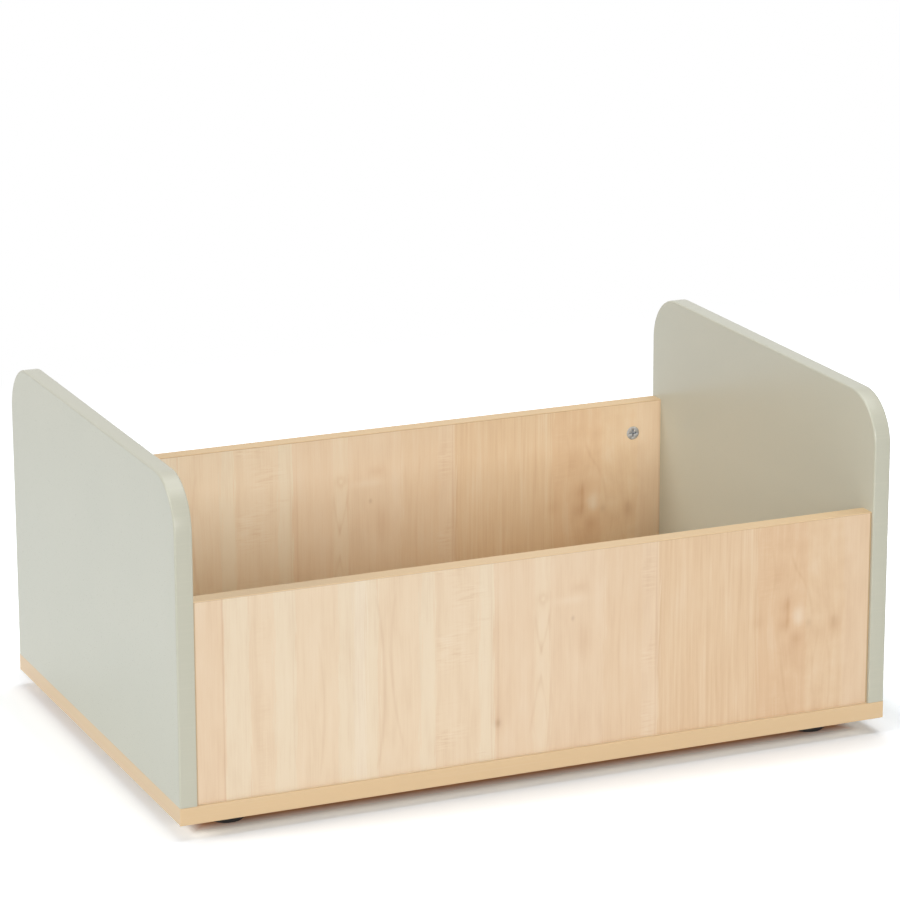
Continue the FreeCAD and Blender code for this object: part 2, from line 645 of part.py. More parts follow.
def assemble_cams():
    for row, row_sign in ROWS:
        inner_face = f"{row_sign}({PANEL_MIDDLE_Y} - sizes.panel_thickness / 2)"
        for end, end_sign in ENDS:
            bolt_turn = NO_TURN if end == "left" else HALF_TURN
            for level, height in LEVELS:
                place = f"{row}_{end}_{level}"
                z = f"{BASE_TOP} + {height}"
                cam = make_cam(f"cam_{place}")
                shift(cam, f"{end_sign}{CAM_X}", inner_face, z, cam_turn(row, end))
                keep(cam, f"cam_{place}")
                bolt = make_bolt(f"cam_bolt_{place}")
                bolt_x = f"{end_sign}{INNER_LENGTH} / 2"
                shift(bolt, bolt_x, f"{row_sign}{PANEL_MIDDLE_Y}", z, bolt_turn)
                keep(bolt, f"cam_bolt_{place}")


def assemble_dowels():
    for row, row_sign in ROWS:
        for end, end_sign in ENDS:
            dowel = make_dowel(f"dowel_{row}_{end}")
            outward = TOWARDS_X if end == "left" else TOWARDS_X.inverted()
            start = f"{end_sign}({INNER_LENGTH} / 2 + sizes.dowel_in_end)"
            shift(dowel, start, f"{row_sign}{PANEL_MIDDLE_Y}", f"{BASE_TOP} + {DOWEL_MIDDLE}", outward)
            keep(dowel, f"dowel_{row}_{end}")


def assemble_base_screws():
    for end, sign in ENDS:
        for count, y in enumerate(END_SCREW_ROW, start=1):
            place_base_screw(f"base_screw_{end}_end_{count}", f"{sign}{END_MIDDLE_X}", y)
    for row, sign in ROWS:
        for count, x in enumerate(PANEL_SCREW_ROW, start=1):
            place_base_screw(f"base_screw_{row}_{count}", x, f"{sign}{PANEL_MIDDLE_Y}")


def place_base_screw(label, x, y):
    screw = make_base_screw(label)
    shift(screw, x, y, "sizes.glide_height")
    keep(screw, label)


def assemble_glides():
    for row, row_sign in ROWS:
        for end, end_sign in ENDS:
            x, y = f"{end_sign}{GLIDE_X}", f"{row_sign}{GLIDE_Y}"
            glide = make_glide(f"glide_{row}_{end}")
            shift(glide, x, y)
            keep(glide, f"glide_{row}_{end}")
            screw = make_glide_screw(f"glide_screw_{row}_{end}")
            shift(screw, x, y, "sizes.glide_recess_depth")
            keep(screw, f"glide_screw_{row}_{end}")


def check_model():
    """Stop if a feature failed or a piece isn't one sound solid."""
    doc.recompute()
    for item in doc.Objects:
        if "Invalid" in item.State or "Error" in item.State:
            raise RuntimeError(f"{item.Name} failed: {item.State}")
    for piece in PIECES:
        shape = piece.Shape
        if shape.isNull() or not shape.isValid() or len(shape.Solids) != 1:
            raise RuntimeError(f"{piece.Label} isn't one sound solid")


def write_parts():
    os.makedirs("parts", exist_ok=True)
    for piece in PIECES:
        piece.Shape.exportStep(os.path.join("parts", f"{piece.Label}.step"))


assemble_boards()
assemble_cams()
assemble_dowels()
assemble_base_screws()
assemble_glides()
check_model()
write_parts()
print(len(PIECES), "pieces")
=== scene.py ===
"""Picture book browser bin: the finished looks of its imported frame.

Run as a script, the file gives the boards their materials, builds the edging of the end panels,
the cam locks, the screws and the glides, and sets the stage. Lengths are in metres, and in
millimetres where a name or a comment says so.
"""

import math

import bmesh
import bpy
from bpy.props import FloatProperty, FloatVectorProperty, PointerProperty
from mathutils import Matrix, Vector


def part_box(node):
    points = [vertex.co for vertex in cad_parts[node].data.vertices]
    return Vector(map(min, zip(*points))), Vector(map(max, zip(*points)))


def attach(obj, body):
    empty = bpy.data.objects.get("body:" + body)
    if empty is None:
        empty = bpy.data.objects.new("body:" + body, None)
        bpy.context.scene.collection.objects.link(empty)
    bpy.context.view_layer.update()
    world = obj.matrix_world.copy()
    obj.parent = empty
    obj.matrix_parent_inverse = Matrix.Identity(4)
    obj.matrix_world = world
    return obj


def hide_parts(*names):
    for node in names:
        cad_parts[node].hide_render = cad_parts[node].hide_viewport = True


bl_info = {
    "name": "Picture Book Browser Bin",
    "version": (1, 0, 0),
    "blender": (4, 5, 0),
    "location": "3D View > Sidebar > Browser Bin",
    "description": "Builds and finishes the pieces of a picture book browser bin",
    "category": "Object",
}

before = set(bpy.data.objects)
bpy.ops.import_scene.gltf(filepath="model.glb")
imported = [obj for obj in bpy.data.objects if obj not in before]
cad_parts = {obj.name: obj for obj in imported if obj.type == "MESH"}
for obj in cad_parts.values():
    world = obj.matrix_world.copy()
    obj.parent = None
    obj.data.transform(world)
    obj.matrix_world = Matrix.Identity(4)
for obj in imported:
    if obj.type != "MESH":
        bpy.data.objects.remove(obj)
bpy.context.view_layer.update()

MM = 0.001
FULL_TURN = 2 * math.pi
QUARTER_TURN = math.pi / 2
ROUND_STEPS = 64
SMOOTH_ANGLE = math.radians(35)
# Points closer than this are the same point.
SAME_PLACE = 1e-6
WHITE = (1, 1, 1, 1)


def painted(red, green, blue):
    """A colour given as 0 to 255 on a screen, in the linear values that Blender works in."""
    def linear(value):
        part = value / 255
        return part / 12.92 if part <= 0.04045 else ((part + 0.055) / 1.055) ** 2.4
    return tuple(linear(value) for value in (red, green, blue))


def size_property(name, description, millimetres):
    return FloatProperty(name=name, description=description, default=millimetres * MM,
                         min=0, subtype="DISTANCE", unit="LENGTH")


def color_property(name, description, red, green, blue):
    return FloatVectorProperty(name=name, description=description, size=3, min=0, max=1,
                               default=painted(red, green, blue), subtype="COLOR")


def power_property(name, description, watts):
    return FloatProperty(name=name, description=description, default=watts, min=0, unit="POWER")


# Settings.

class BinEdgingSettings(bpy.types.PropertyGroup):
    corner_radius: size_property("Corner radius", "Top corners of the end panels, outside", 52)
    thickness: size_property("Thickness", "Edging strip of the end panels", 2)
    arris: size_property("Arris", "Rounding of the strip's outer edges", 1.9)
    joint: size_property("Joint", "Hairline between the strip and the faces of its panel", 0.08)


class BinFittingSettings(bpy.types.PropertyGroup):
    cam_rim: size_property("Cam rim", "Rounding of the cam lock's rim", 0.35)
    cam_wall: size_property("Cam wall", "Wall of the locked cam, where the bolt pulls on it", 3.45)
    cam_rise: size_property("Cam rise", "How much thinner that wall is when the cam is open", 2)
    cam_bolt_level: size_property("Bolt level", "Axis of the bolt below the cam's face", 9)
    cam_cavity: size_property("Cavity", "Height of the hollow for the bolt's head", 7)
    cam_slot: size_property("Slot", "Height of the slot for the bolt's neck", 3.8)
    cross_width: size_property("Cross width", "Cross recess of the cam lock, tip to tip", 8.2)
    cross_blade: size_property("Cross blade", "Width of one arm of a cross recess", 1.7)
    cross_depth: size_property("Cross depth", "Cross recess of the cam lock", 3.2)
    arrow_radius: size_property("Arrow", "Arrow on the cam lock, middle to points", 1.6)
    arrow_place: size_property("Arrow place", "Middle of the arrow from the cam's axis", 5.3)
    arrow_depth: size_property("Arrow depth", "Arrow on the cam lock", 0.5)
    socket_width: size_property("Socket", "Hexagon socket of the base screws, across flats", 4)
    socket_depth: size_property("Socket depth", "Hexagon socket of the base screws", 2.5)
    recess_edge: size_property("Recess edge", "Bevel at the mouth of every recess", 0.1)


class BinFinishSettings(bpy.types.PropertyGroup):
    sage: color_property("Sage", "Laminate of the end panels", 195, 196, 181)
    sage_strip: color_property("Sage strip", "Edging of the end panels", 193, 192, 175)
    maple_strip: color_property("Maple strip", "Edging of the maple boards", 222, 192, 150)
    grain_dark: color_property("Dark grain", "Growth lines of the maple print", 196, 150, 108)
    grain_light: color_property("Light grain", "Pale fibres of the maple print", 246, 234, 214)
    knot: color_property("Knot", "Knots of the maple print", 152, 104, 72)
    glue: color_property("Glue line", "Joint between a maple board and its edging", 150, 112, 72)
    painted_end_shade: color_property("End line", "Joint between a panel and an end panel", 172, 142, 104)
    # This colour is painted shade: it darkens the panels' ends where they meet the end panels, in
    # place of the shaded groove there.
    core: color_property("Core", "Chipboard inside the boards", 190, 155, 108)
    zinc: color_property("Zinc", "Cam locks", 200, 203, 207)
    steel: color_property("Steel", "Screws and cam bolts", 190, 190, 188)
    beech: color_property("Beech", "Dowels", 222, 190, 150)
    plastic: color_property("Plastic", "Glides", 34, 33, 32)


class BinStageSettings(bpy.types.PropertyGroup):
    sky: FloatProperty(name="Sky", description="Strength of the light from all round",
                       default=0.25, min=0, max=2)
    front_power: power_property("Front lamp", "Wide low lamp far in front", 302)
    left_power: power_property("Left lamp", "High lamp far to the left", 480)
    top_power: power_property("Top lamp", "Lamp above, to the right", 43)
    floor: color_property("Floor", "Floor under the bin", 244, 244, 243)
    floor_lift: FloatVectorProperty(name="Floor lift", default=(0.29, 0.33, 0.38), min=0, max=1,
                                    description="Added to the floor where it is seen directly",
                                    subtype="COLOR")
    floor_size: size_property("Floor size", "Side of the floor", 14000)
    # Painted shadow: the floor's colour under the base, darker and warmer than the floor.
    painted_floor_shadow: color_property("Floor shade", "Floor deep under the bin", 200, 142, 105)
    floor_near: size_property("Shadow reach", "Past it the floor turns plain white", 600)


# Shader nodes.

class Tree:
    """Adds nodes to a shader tree and links them."""

    def __init__(self, tree):
        self.tree = tree
        tree.nodes.clear()

    def add(self, kind, sockets=None, **settings):
        """A new node. A socket takes a value, or the output of another node."""
        node = self.tree.nodes.new(f"ShaderNode{kind}")
        for name, value in settings.items():
            setattr(node, name, value)
        for key, value in (sockets or {}).items():
            if isinstance(value, bpy.types.NodeSocket):
                self.tree.links.new(value, node.inputs[key])
            else:
                node.inputs[key].default_value = value
        return node

    def math(self, operation, *values, clamp=False):
        sockets = dict(enumerate(values))
        return self.add("Math", sockets, operation=operation, use_clamp=clamp).outputs[0]

    def chain(self, operation, values):
        """Several values joined by one operation, from the first to the last."""
        whole = values[0]
        for value in values[1:]:
            whole = self.math(operation, whole, value)
        return whole

    def total(self, *values):
        """The sum of several values."""
        return self.chain("ADD", values)

    def times(self, *values):
        """The product of several values."""
        return self.chain("MULTIPLY", values)

    def bell(self, value, middle, reach):
        """1 where value is middle, falling to 0 at about twice reach on either side."""
        offset = self.math("DIVIDE", self.math("SUBTRACT", value, middle), reach)
        return self.math("EXPONENT", self.times(offset, offset, -1))

    def step(self, value, low, high):
        """Goes smoothly from 0 to 1 while value goes from low to high."""
        sockets = {0: value, 1: low, 2: high, 3: 0, 4: 1}
        return self.add("MapRange", sockets, interpolation_type="SMOOTHSTEP").outputs[0]

    def window(self, value, low, high, soft):
        """1 while value is between low and high, 0 outside."""
        rise = self.step(value, low - soft, low + soft)
        fall = self.step(value, high - soft, high + soft)
        return self.math("SUBTRACT", rise, fall)

    def blend(self, amount, first, second):
        """A colour between first and second."""
        sockets = {0: amount, 6: opaque(first), 7: opaque(second)}
        return self.add("Mix", sockets, data_type="RGBA").outputs[2]

    def choose(self, amount, first, second):
        """A number between first and second."""
        return self.add("Mix", {0: amount, 2: first, 3: second}, data_type="FLOAT").outputs[0]

    def noise(self, place, sizes, detail=2.0):
        """Noise from 0 to 1, with features of the given sizes along the three axes."""
        parts = [self.math("DIVIDE", part, size) for part, size in zip(place, sizes)]
        vector = self.add("CombineXYZ", dict(enumerate(parts))).outputs[0]
        sockets = {"Vector": vector, "Scale": 1.0, "Detail": detail}
        return self.add("TexNoise", sockets).outputs[0]

    def grit(self, place, size, detail=2.0):
        """Noise with grains of one size."""
        return self.noise(place, (size, size, size), detail)

    def streaks(self, place, sizes, amount, detail=2.0):
        """Noise with features of the given sizes, that swings about 0 by about amount."""
        swing = self.math("SUBTRACT", self.noise(place, sizes, detail), 0.5)
        return self.times(swing, 4 * amount)

    def place_mm(self):
        """The three object coordinates, in millimetres."""
        place = self.add("TexCoord").outputs["Object"]
        parts = self.add("SeparateXYZ", {0: place}).outputs
        return [self.math("DIVIDE", part, MM) for part in parts]


def opaque(value):
    """A colour with its fourth value; a node's output is left as it is."""
    return value if isinstance(value, bpy.types.NodeSocket) else (*value, 1)


def new_material(name):
    material = bpy.data.materials.new(name)
    material.use_nodes = True
    return material, Tree(material.node_tree)


def finish_material(tree, base, roughness, relief=None, depth_mm=0.0, **uniform):
    """Closes a material with its shader. uniform holds the sockets that are the same all over."""
    sockets = {"Base Color": opaque(base), "Roughness": roughness}
    sockets.update({name.replace("_", " "): value for name, value in uniform.items()})
    if relief is not None:
        bump = {"Height": relief, "Distance": depth_mm * MM, "Strength": 1.0}
        sockets["Normal"] = tree.add("Bump", bump).outputs[0]
    shader = tree.add("BsdfPrincipled", sockets)
    tree.add("OutputMaterial", {"Surface": shader.outputs[0]})


def dress(material, *node_names):
    """Gives CAD nodes a material."""
    for name in node_names:
        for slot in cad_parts[name].material_slots:
            slot.material = material


def nodes_named(start, but_not=()):
    """Names of the CAD nodes that begin with start."""
    return [name for name in sorted(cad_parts)
            if name.startswith(start) and not name.startswith(tuple(but_not))]


# The maple print. Its places are in millimetres: across the grain from the middle of the front
# panel, and along the grain from the panel's foot.
TONES = {
    "pale": painted(236, 220, 195),
    "cream": painted(234, 216, 188),
    "beige": painted(233, 211, 181),
    "rosy": painted(231, 206, 175),
    "honey": painted(229, 202, 169),
    "tan": painted(227, 198, 162),
    "russet": painted(225, 193, 156),
}
# Planks, each from its left edge.
PLANKS = (
    (-400, "rosy"), (-334, "cream"), (-307, "beige"), (-282, "cream"), (-262, "beige"),
    (-235, "beige"), (-218, "cream"), (-200, "pale"), (-190, "cream"), (-175, "beige"),
    (-132, "cream"), (-118, "beige"), (-70, "cream"), (-56, "rosy"), (-12, "beige"), (5, "rosy"),
    (65, "honey"), (104, "rosy"), (122, "tan"), (232, "russet"), (288, "tan"), (330, "honey"),
)
# The planks are laid out this far to either side of the print's middle.
PRINT_REACH = 400
# Figures of the grain: size across, size along, detail, and how much they shade the print.
FIBRES = (1.3, 45, 3, 0.075)
GROWTH = (7, 240, 3, 0.08)
CLOUDS = (15, 60, 3, 0.11)
DENSE = (2.6, 120, 4, 0.18)
BURL = (15, 17, 3, 0.11)
FLECKS = (17, 2, 2, 0.2)
# The lines wander sideways by WANDER_MM over these sizes, and the edges of the planks by a share
# of that. The fibres shift those edges by RAGGED_MM.
WANDER_SIZES = (60, 190, 1)
WANDER_MM = 1.2
PLANK_WANDER = 0.15
RAGGED_MM = 4
# Where there are short flecks across the grain: from, to, strength. They come in patches of these
# sizes, where a noise passes from the first to the second value.
FLECKED = ((-114, -58, 1.2), (106, 121, 1.0), (236, 262, 0.4), (-300, -285, 0.3))
FLECK_FADE = 4
PATCH_SIZES = (40, 30, 1)
PATCH_STEP = (-0.3, 0.6)
# Where the grain is dense and straight: from, to, fade.
STRAIGHT = (123, 232, 0.5)
# Where it is mottled: from, to, fade.
BURLED = (250, 340, 15)
# Dark lines between planks: place, strength.
SEAMS = ((-333, 0.3), (-262, 0.1), (-56, 0.12), (-49, 0.14), (122, 0.22), (232, 0.1))
SEAM_WIDTH = 0.8
# Eyes that the growth lines part for: across, along, half width, reach along.
EYES = ((-1, 160, 6, 14), (-2, 118, 5, 22), (-5, 48, 7, 30), (-166, 60, 9, 60), (284, 102, 16, 34))
# The strokes fade out over this length.
STROKE_FADE = 9
# Soft strokes of darker grain: lower end, middle and upper end, half width, strength.
STROKES = (
    ((-3, 104), (-7, 124), (-9, 142), 1.4, 0.16),
    ((-3, 104), (2, 122), (6, 142), 1.4, 0.16),
    ((-15, 22), (-9, 54), (-3, 80), 1.6, 0.13),
    ((4, 30), (1, 56), (-3, 80), 1.4, 0.13),
    ((-175, 12), (-168, 95), (-176, 180), 1.6, 0.16),
    ((-150, 32), (-161, 112), (-157, 182), 1.6, 0.12),
    ((272, -8), (267, 26), (262, 57), 1.6, 0.16),
    ((300, -8), (299, 30), (297, 67), 1.6, 0.13),
    ((285, 142), (277, 155), (272, 172), 1.8, 0.16),
    ((297, 102), (293, 124), (285, 142), 1.8, 0.12),
    ((268, 90), (269, 107), (269, 124), 1.8, 0.3),
    ((252, 128), (254, 152), (251, 176), 1.5, 0.12),
    ((316, 2), (318, 40), (314, 74), 1.5, 0.12),
    ((-236, 10), (-231, 70), (-237, 150), 1.5, 0.1),
    ((84, 20), (81, 90), (86, 172), 1.4, 0.1),
)
# Knots: across, along, half width, half length, strength.
KNOTS = (
    (-49, 37, 3.2, 4.4, 0.36),
    (31, 134, 1.8, 2.6, 0.24),
    (293, 95, 3.2, 4.2, 0.14),
    (322, 93, 4.6, 6.5, 0.12),
)
# Soft patches: across, along, half width, half length, strength, which is negative if pale.
PATCHES = (
    (42, 110, 12, 21, 0.24),
    (38, 165, 8, 5, 0.18),
    (281, 102, 6, 11, -0.4),
    (279, 81, 8, 7, 0.38),
    (265, 96, 7, 8, 0.3),
    (266, 116, 7, 10, 0.3),
    (234, 102, 8, 7, 0.16),
    (300, 84, 7, 8, 0.22),
    (275, 66, 12, 13, 0.27),
    (306, 120, 12, 20, 0.17),
    (322, 90, 7, 10, 0.36),
    (268, 150, 12, 15, 0.14),
    (28, 153, 18, 4, -0.2),
    (-1, 158, 5, 6, 0.32),
    (-1, 158, 2.2, 2.8, -0.4),
    (-3, 110, 2, 9, 0.2),
    (-4, 73, 3, 8, 0.13),
    (-168, 78, 4, 36, 0.12),
    (-212, 118, 12, 60, 0.1),
    (-290, 60, 14, 40, 0.1),
    (-49, 40, 6, 16, 0.14),
    (200, 60, 9, 40, 0.08),
)


def add_planks(tree, across):
    """Colour of the plank at a place across the grain."""
    whole = tree.math("DIVIDE", tree.math("ADD", across, PRINT_REACH), 2 * PRINT_REACH)
    ramp = tree.add("ValToRGB", {0: whole})
    ramp.color_ramp.interpolation = "CONSTANT"
    stops = ramp.color_ramp.elements
    stops.remove(stops[-1])
    for number, (start, tone) in enumerate(PLANKS):
        place = (start + PRINT_REACH) / (2 * PRINT_REACH)
        stop = stops[0] if number == 0 else stops.new(place)
        stop.color = opaque(TONES[tone])
    return ramp.outputs[0]


def part_for_eyes(tree, across, along):
    """Bends the growth lines round the eyes, and gives the bent place."""
    for middle, height, half_width, reach in EYES:
        offset = tree.math("SUBTRACT", across, middle)
        away = tree.math("ABSOLUTE", offset)
        opening = tree.times(tree.bell(along, height, reach), half_width)
        pushed = tree.math("DIVIDE", opening, tree.math("ADD", away, opening))
        pushed = tree.times(pushed, tree.bell(offset, 0, 2 * half_width))
        across = tree.math("MULTIPLY_ADD", offset, tree.math("SUBTRACT", 1, pushed), middle)
    return across


def bow(low, middle, high):
    """Factors of the parabola through three (across, along) points: across from along."""
    (x1, y1), (x2, y2), (x3, y3) = low, middle, high
    first, second = (x2 - x1) / (y2 - y1), (x3 - x2) / (y3 - y2)
    curve = (second - first) / (y3 - y1)
    slope = first - curve * (y1 + y2)
    return x1 - slope * y1 - curve * y1 * y1, slope, curve


def add_strokes(tree, across, along):
    """Sum of the soft strokes."""
    found = []
    for low, middle, high, half_width, strength in STROKES:
        start, slope, curve = bow(low, middle, high)
        bent = tree.math("MULTIPLY_ADD", along, curve, slope)
        bent = tree.math("MULTIPLY_ADD", bent, along, start)
        near = tree.bell(across, bent, half_width)
        run = tree.window(along, low[1], high[1], STROKE_FADE)
        found.append(tree.times(near, run, strength))
    return tree.total(*found)


def add_spots(tree, across, along, spots):
    """Sum of soft oval spots."""
    found = []
    for middle, height, half_width, half_length, strength in spots:
        wide = tree.math("DIVIDE", tree.math("SUBTRACT", across, middle), half_width)
        long = tree.math("DIVIDE", tree.math("SUBTRACT", along, height), half_length)
        squared = tree.math("ADD", tree.times(wide, wide), tree.times(long, long))
        spot = tree.math("EXPONENT", tree.times(squared, -1))
        found.append(tree.times(spot, strength))
    return tree.total(*found)


def make_maple_print(finish):
    """Node group of the printed maple: its colour, and its relief from 0 to 1."""
    group = bpy.data.node_groups.new("Maple print", "ShaderNodeTree")
    tree = Tree(group)
    for name in ("Across", "Along", "Sheet"):
        group.interface.new_socket(name, in_out="INPUT", socket_type="NodeSocketFloat")
    group.interface.new_socket("Color", in_out="OUTPUT", socket_type="NodeSocketColor")
    group.interface.new_socket("Relief", in_out="OUTPUT", socket_type="NodeSocketFloat")
    across, along, sheet = group.nodes.new("NodeGroupInput").outputs[:3]

    def pattern(start, figure):
        """A figure of the grain, from start across, that swings about 0 by about 1."""
        wide, long, detail, _ = figure
        return tree.streaks((start, along, sheet), (wide, long, 1), 1.0, detail)

    flat = (across, along, sheet)
    wander = tree.streaks(flat, WANDER_SIZES, WANDER_MM)
    bent = part_for_eyes(tree, tree.math("ADD", across, wander), along)
    fibres = pattern(bent, FIBRES)
    shift = tree.total(across, tree.times(wander, PLANK_WANDER), tree.times(fibres, RAGGED_MM))
    planks = add_planks(tree, shift)
    flecked = tree.total(*(
        tree.times(tree.window(across, low, high, FLECK_FADE), strength)
        for low, high, strength in FLECKED
    ))
    patchy = tree.step(tree.streaks(flat, PATCH_SIZES, 1.0), *PATCH_STEP)
    darker = tree.total(
        tree.times(fibres, FIBRES[-1]),
        tree.times(pattern(bent, GROWTH), GROWTH[-1]),
        tree.times(pattern(bent, CLOUDS), CLOUDS[-1]),
        tree.times(pattern(bent, DENSE), tree.window(across, *STRAIGHT), DENSE[-1]),
        tree.times(pattern(bent, BURL), tree.window(across, *BURLED), BURL[-1]),
        tree.times(pattern(across, FLECKS), flecked, patchy, FLECKS[-1]),
        *(tree.times(tree.bell(across, place, SEAM_WIDTH), strength) for place, strength in SEAMS),
        add_strokes(tree, across, along),
        add_spots(tree, across, along, PATCHES),
    )
    grained = tree.blend(tree.math("MAXIMUM", darker, 0, clamp=True), planks, finish.grain_dark)
    paler = tree.math("MAXIMUM", tree.times(darker, -1), 0, clamp=True)
    grained = tree.blend(paler, grained, finish.grain_light)
    knotted = tree.blend(add_spots(tree, across, along, KNOTS), grained, finish.knot)
    relief = tree.math("MULTIPLY_ADD", fibres, 0.25, 0.5, clamp=True)
    out = group.nodes.new("NodeGroupOutput")
    group.links.new(knotted, out.inputs["Color"])
    group.links.new(relief, out.inputs["Relief"])
    return group


# Board materials.

# Thickness of a laminate face, and the depth over which chipboard takes its place.
SKIN_MM = 0.3
SKIN_FADE_MM = 0.05
# Height of the glue line below a panel's edging, its fade, and how much of its colour shows.
GLUE_MM = 0.5
GLUE_FADE_MM = 0.1
GLUE_SHARE = 0.3
# The panels end this far from the middle. Painted shade darkens a band at their ends, in place of
# # the shaded groove where they meet the end panels.
END_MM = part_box("front_panel")[1].x / MM
END_SHADE_MM = 1.8
# How much of that painted shade shows on each panel.
FRONT_END_SHADE = 0.75
BACK_END_SHADE = 0.2
CORE_ROUGHNESS = 0.9
# Keeps the fibres on a board's two faces apart.
SHEET_SHIFT = 7.3


def add_core(tree, place, finish):
    """Colour of the chipboard inside a board."""
    chips = tree.streaks(place, (2.2, 2.2, 0.9), 0.5, detail=4.0)
    darker = tree.math("ADD", chips, 0.35, clamp=True)
    return tree.blend(darker, finish.core, finish.knot)


def add_skin(tree, depth, half_thickness):
    """1 in the laminate faces of a board, 0 in its core."""
    skin_from = half_thickness - SKIN_MM
    return tree.step(tree.math("ABSOLUTE", depth), skin_from - SKIN_FADE_MM, skin_from)


def make_maple_board(name, finish, maple_print, across, along, depth, half_thickness, tone=WHITE,
                     glue_from=None, end_shade_share=0.0):
    """Material of a maple board.

    across and along take the three coordinates and give the place in the print. depth gives the
    distance from the board's middle plane. Above glue_from lies the glue of the edging.
    end_shade_share tells how much painted shade darkens the board's ends, where the groove beside
    an end panel is in shade.
    """
    material, tree = new_material(name)
    place = tree.place_mm()
    away = depth(tree, *place)
    sockets = {"Across": across(tree, *place), "Along": along(tree, *place),
               "Sheet": tree.times(tree.math("SIGN", away), SHEET_SHIFT)}
    used = tree.add("Group", sockets, node_tree=maple_print)
    # The print is multiplied by a tone; on the back panel that tone is painted light.
    color = tree.add("Mix", {0: 1.0, 6: used.outputs["Color"], 7: tone}, data_type="RGBA",
                     blend_type="MULTIPLY").outputs[2]
    if glue_from is not None:
        glued = tree.step(place[2], glue_from - GLUE_FADE_MM, glue_from)
        color = tree.blend(tree.times(glued, GLUE_SHARE), color, finish.glue)
    # Painted shade at the board's ends, where the groove beside an end panel is in shade.
    if end_shade_share:
        from_end = tree.math("SUBTRACT", END_MM, tree.math("ABSOLUTE", place[0]))
        unshaded_part = tree.step(from_end, 0.6 * END_SHADE_MM, 1.2 * END_SHADE_MM)
        shaded_end = tree.times(tree.math("SUBTRACT", 1, unshaded_part), end_shade_share)
        color = tree.blend(shaded_end, color, finish.painted_end_shade)
    skin = add_skin(tree, away, half_thickness)
    color = tree.blend(skin, add_core(tree, place, finish), color)
    relief = used.outputs["Relief"]
    glaze = tree.math("MULTIPLY_ADD", relief, 0.08, 0.31)
    roughness = tree.choose(skin, CORE_ROUGHNESS, glaze)
    finish_material(tree, color, roughness, relief, depth_mm=0.02, IOR=1.45)
    return material


def shifted(axis, scale=1.0, shift=0.0):
    """A place in the print that follows one coordinate: x is axis 0, y is 1 and z is 2."""
    def lay(tree, *place):
        return tree.math("MULTIPLY_ADD", place[axis], scale, shift)
    return lay


def from_middle(axis, node):
    """Distance of a place from the middle plane of a CAD node, in millimetres."""
    low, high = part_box(node)
    middle = (low[axis] + high[axis]) / 2 / MM
    return shifted(axis, 1.0, -middle)


def split_by_face(node, front, back):
    """One way to lay the print on a panel's front face, and another on its back face."""
    side = from_middle(1, node)
    def lay(tree, *place):
        rear = tree.step(side(tree, *place), -1, 1)
        return tree.choose(rear, front(tree, *place), back(tree, *place))
    return lay


def make_strip_material(name, finish_color, light, roughness):
    """Material of an edging strip: plain, with faint streaks along it."""
    material, tree = new_material(name)
    x, y, z = tree.place_mm()
    run = (tree.math("ADD", x, y), tree.math("SUBTRACT", x, y), z)
    streaks = tree.streaks(run, (260, 260, 2.2), 0.05, detail=3.0)
    color = tree.blend(tree.math("MAXIMUM", streaks, 0, clamp=True), finish_color, light)
    peel = tree.grit((x, y, z), 1.4)
    rough = tree.math("MULTIPLY_ADD", peel, 0.06, roughness)
    finish_material(tree, color, rough, peel, depth_mm=0.005, IOR=1.5)
    return material


def make_sage_board(name, finish, node):
    """Satin laminate with a fine orange peel, over chipboard."""
    material, tree = new_material(name)
    place = tree.place_mm()
    low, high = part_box(node)
    skin = add_skin(tree, from_middle(0, node)(tree, *place), (high.x - low.x) / 2 / MM)
    peel = tree.grit(place, 1.1)
    cloud = tree.streaks(place, (90, 90, 90), 0.02)
    sage = tree.blend(tree.math("ADD", cloud, 0.02, clamp=True), finish.sage, finish.grain_light)
    color = tree.blend(skin, add_core(tree, place, finish), sage)
    roughness = tree.choose(skin, CORE_ROUGHNESS, tree.math("MULTIPLY_ADD", peel, 0.03, 0.265))
    finish_material(tree, color, roughness, peel, depth_mm=0.0007, IOR=1.5)
    return material


def make_metal(name, color, roughness, grain_mm, relief_mm):
    """Bare or plated metal with a fine uneven surface."""
    material, tree = new_material(name)
    place = tree.place_mm()
    grain = tree.grit(place, grain_mm, detail=3.0)
    blotch = tree.grit(place, 6 * grain_mm)
    darker = tuple(0.7 * value for value in color)
    mixed = tree.blend(tree.step(blotch, 0.35, 0.75), color, darker)
    rough = tree.math("MULTIPLY_ADD", grain, 0.25, roughness)
    finish_material(tree, mixed, rough, grain, relief_mm, Metallic=1.0)
    return material


def make_plastic(name, color):
    """Moulded plastic with a fine spark texture."""
    material, tree = new_material(name)
    place = tree.place_mm()
    spark = tree.grit(place, 0.5)
    dust = tree.grit(place, 14, detail=3.0)
    lighter = tuple(min(1.0, 2.2 * value) for value in color)
    mixed = tree.blend(tree.step(dust, 0.45, 0.8), color, lighter)
    rough = tree.math("MULTIPLY_ADD", spark, 0.2, 0.42)
    finish_material(tree, mixed, rough, spark, depth_mm=0.03, IOR=1.5)
    return material


def make_beech(name, finish):
    """Plain turned beech with short flecks."""
    material, tree = new_material(name)
    fibres = tree.streaks(tree.place_mm(), (12, 0.7, 0.7), 0.2, detail=3.0)
    color = tree.blend(tree.math("ADD", fibres, 0.15, clamp=True), finish.beech, finish.grain_dark)
    relief = tree.math("ADD", fibres, 0.5, clamp=True)
    finish_material(tree, color, tree.math("ADD", fibres, 0.6, clamp=True), relief, depth_mm=0.05)
    return material


# Mesh tools.

def bevel(form, geometry, width, segments, affect="VERTICES"):
    """Rounds corners or edges of a form."""
    bmesh.ops.bevel(form, geom=geometry, offset=width, segments=segments, profile=0.5,
                    affect=affect, material=-1)


